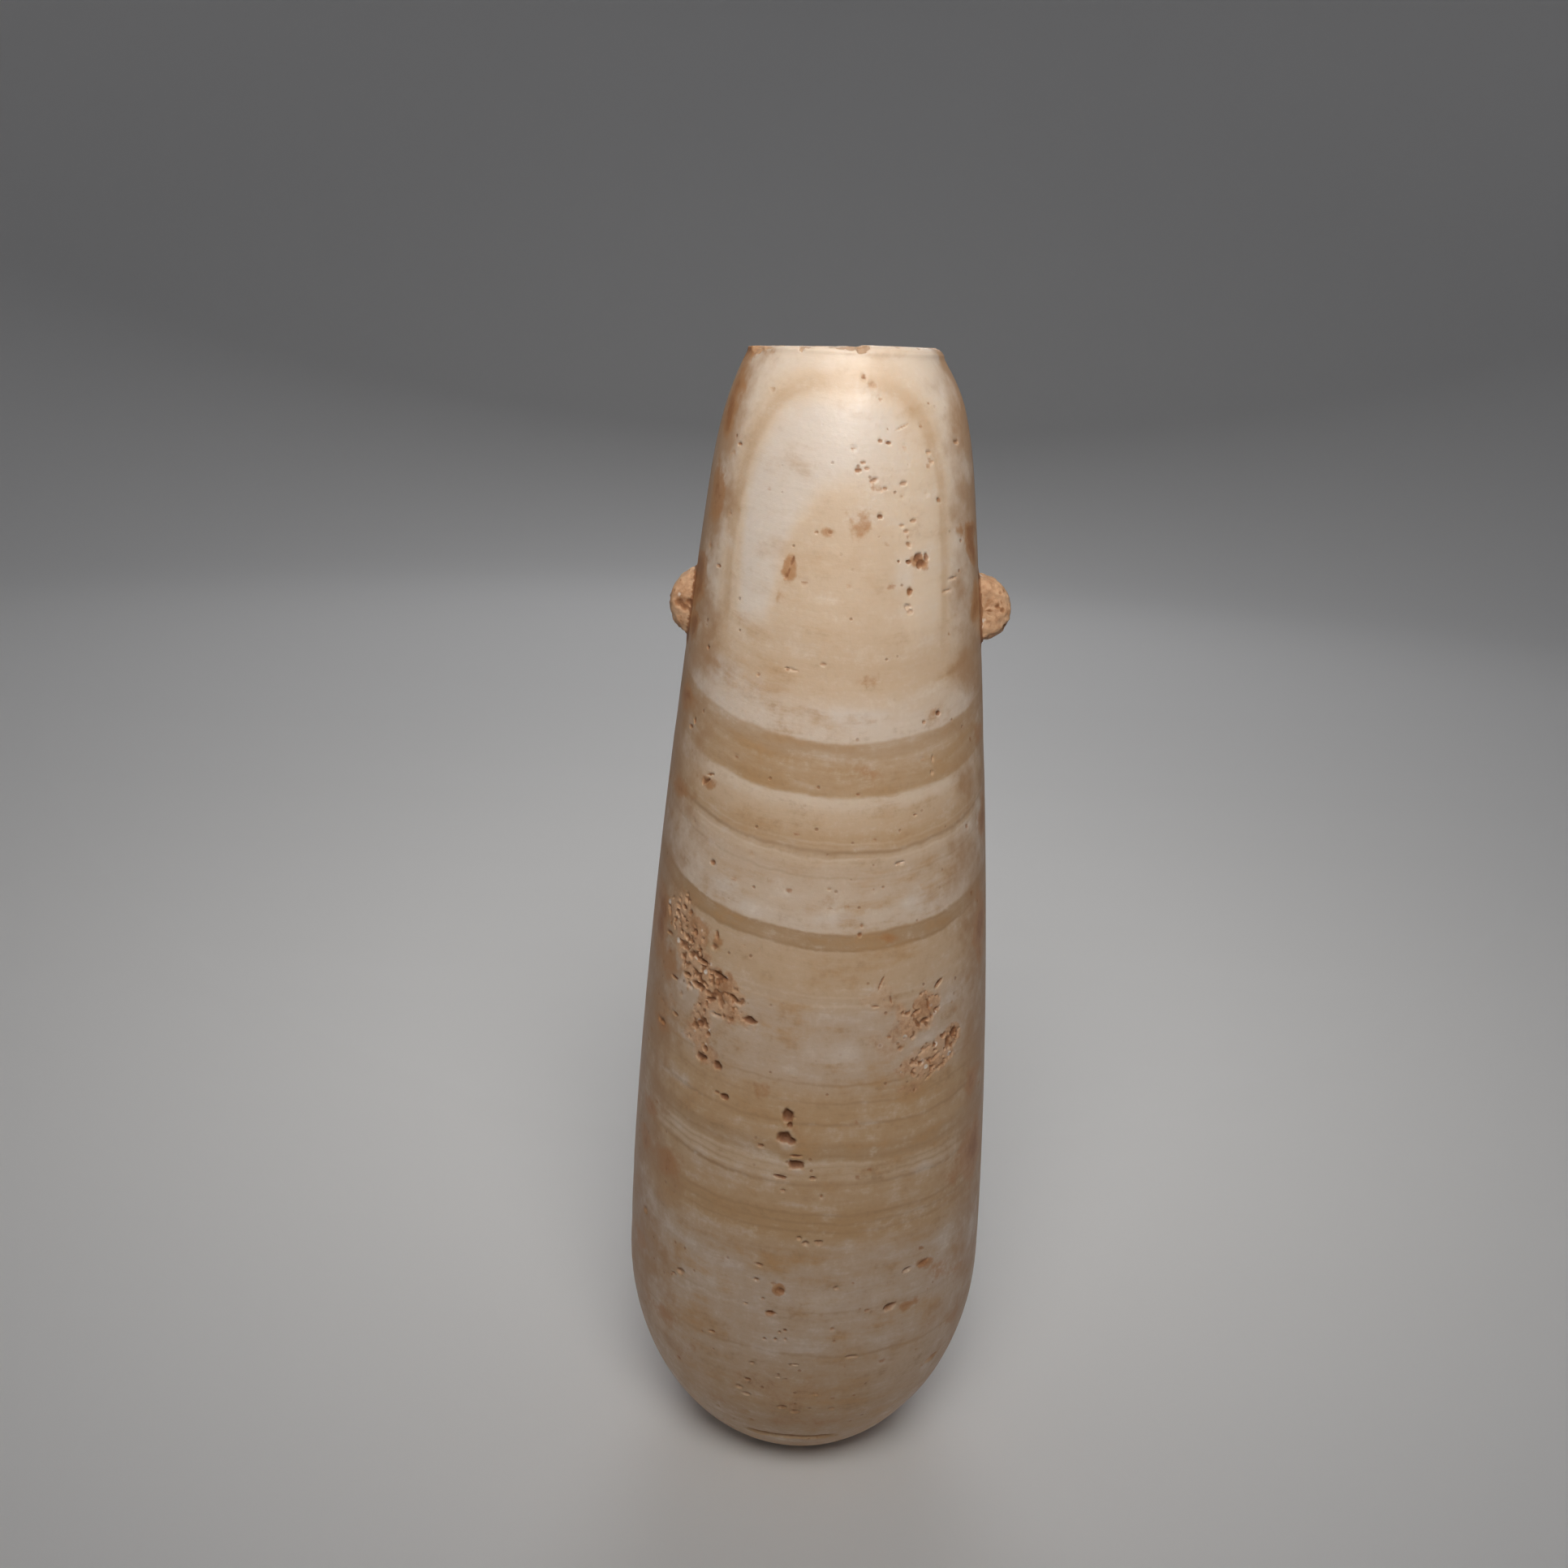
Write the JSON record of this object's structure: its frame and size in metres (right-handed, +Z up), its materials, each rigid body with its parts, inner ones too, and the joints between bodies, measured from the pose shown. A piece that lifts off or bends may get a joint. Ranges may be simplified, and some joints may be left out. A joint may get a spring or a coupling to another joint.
{
  "type": "alabastron",
  "caption": "Drop-shaped stone perfume vessel, hollow and round-bottomed, with small lugs at the shoulder and a worn, chipped mouth where the neck has broken away.",
  "frame": {"origin": "centre of the small worn flat that the vessel stands on", "axes": "+Z up along the vessel's turning axis to the mouth, +X towards the right lug, -Y towards the front"},
  "size_m": [0.0652, 0.0652, 0.2],
  "materials": {
    "calcite": "banded cream and honey-brown stone with a worn old polish, earth-stained pits and rough lugs"
  },
  "bodies": {
    "root": {"alabastron": "calcite"}
  },
  "joints": []
}
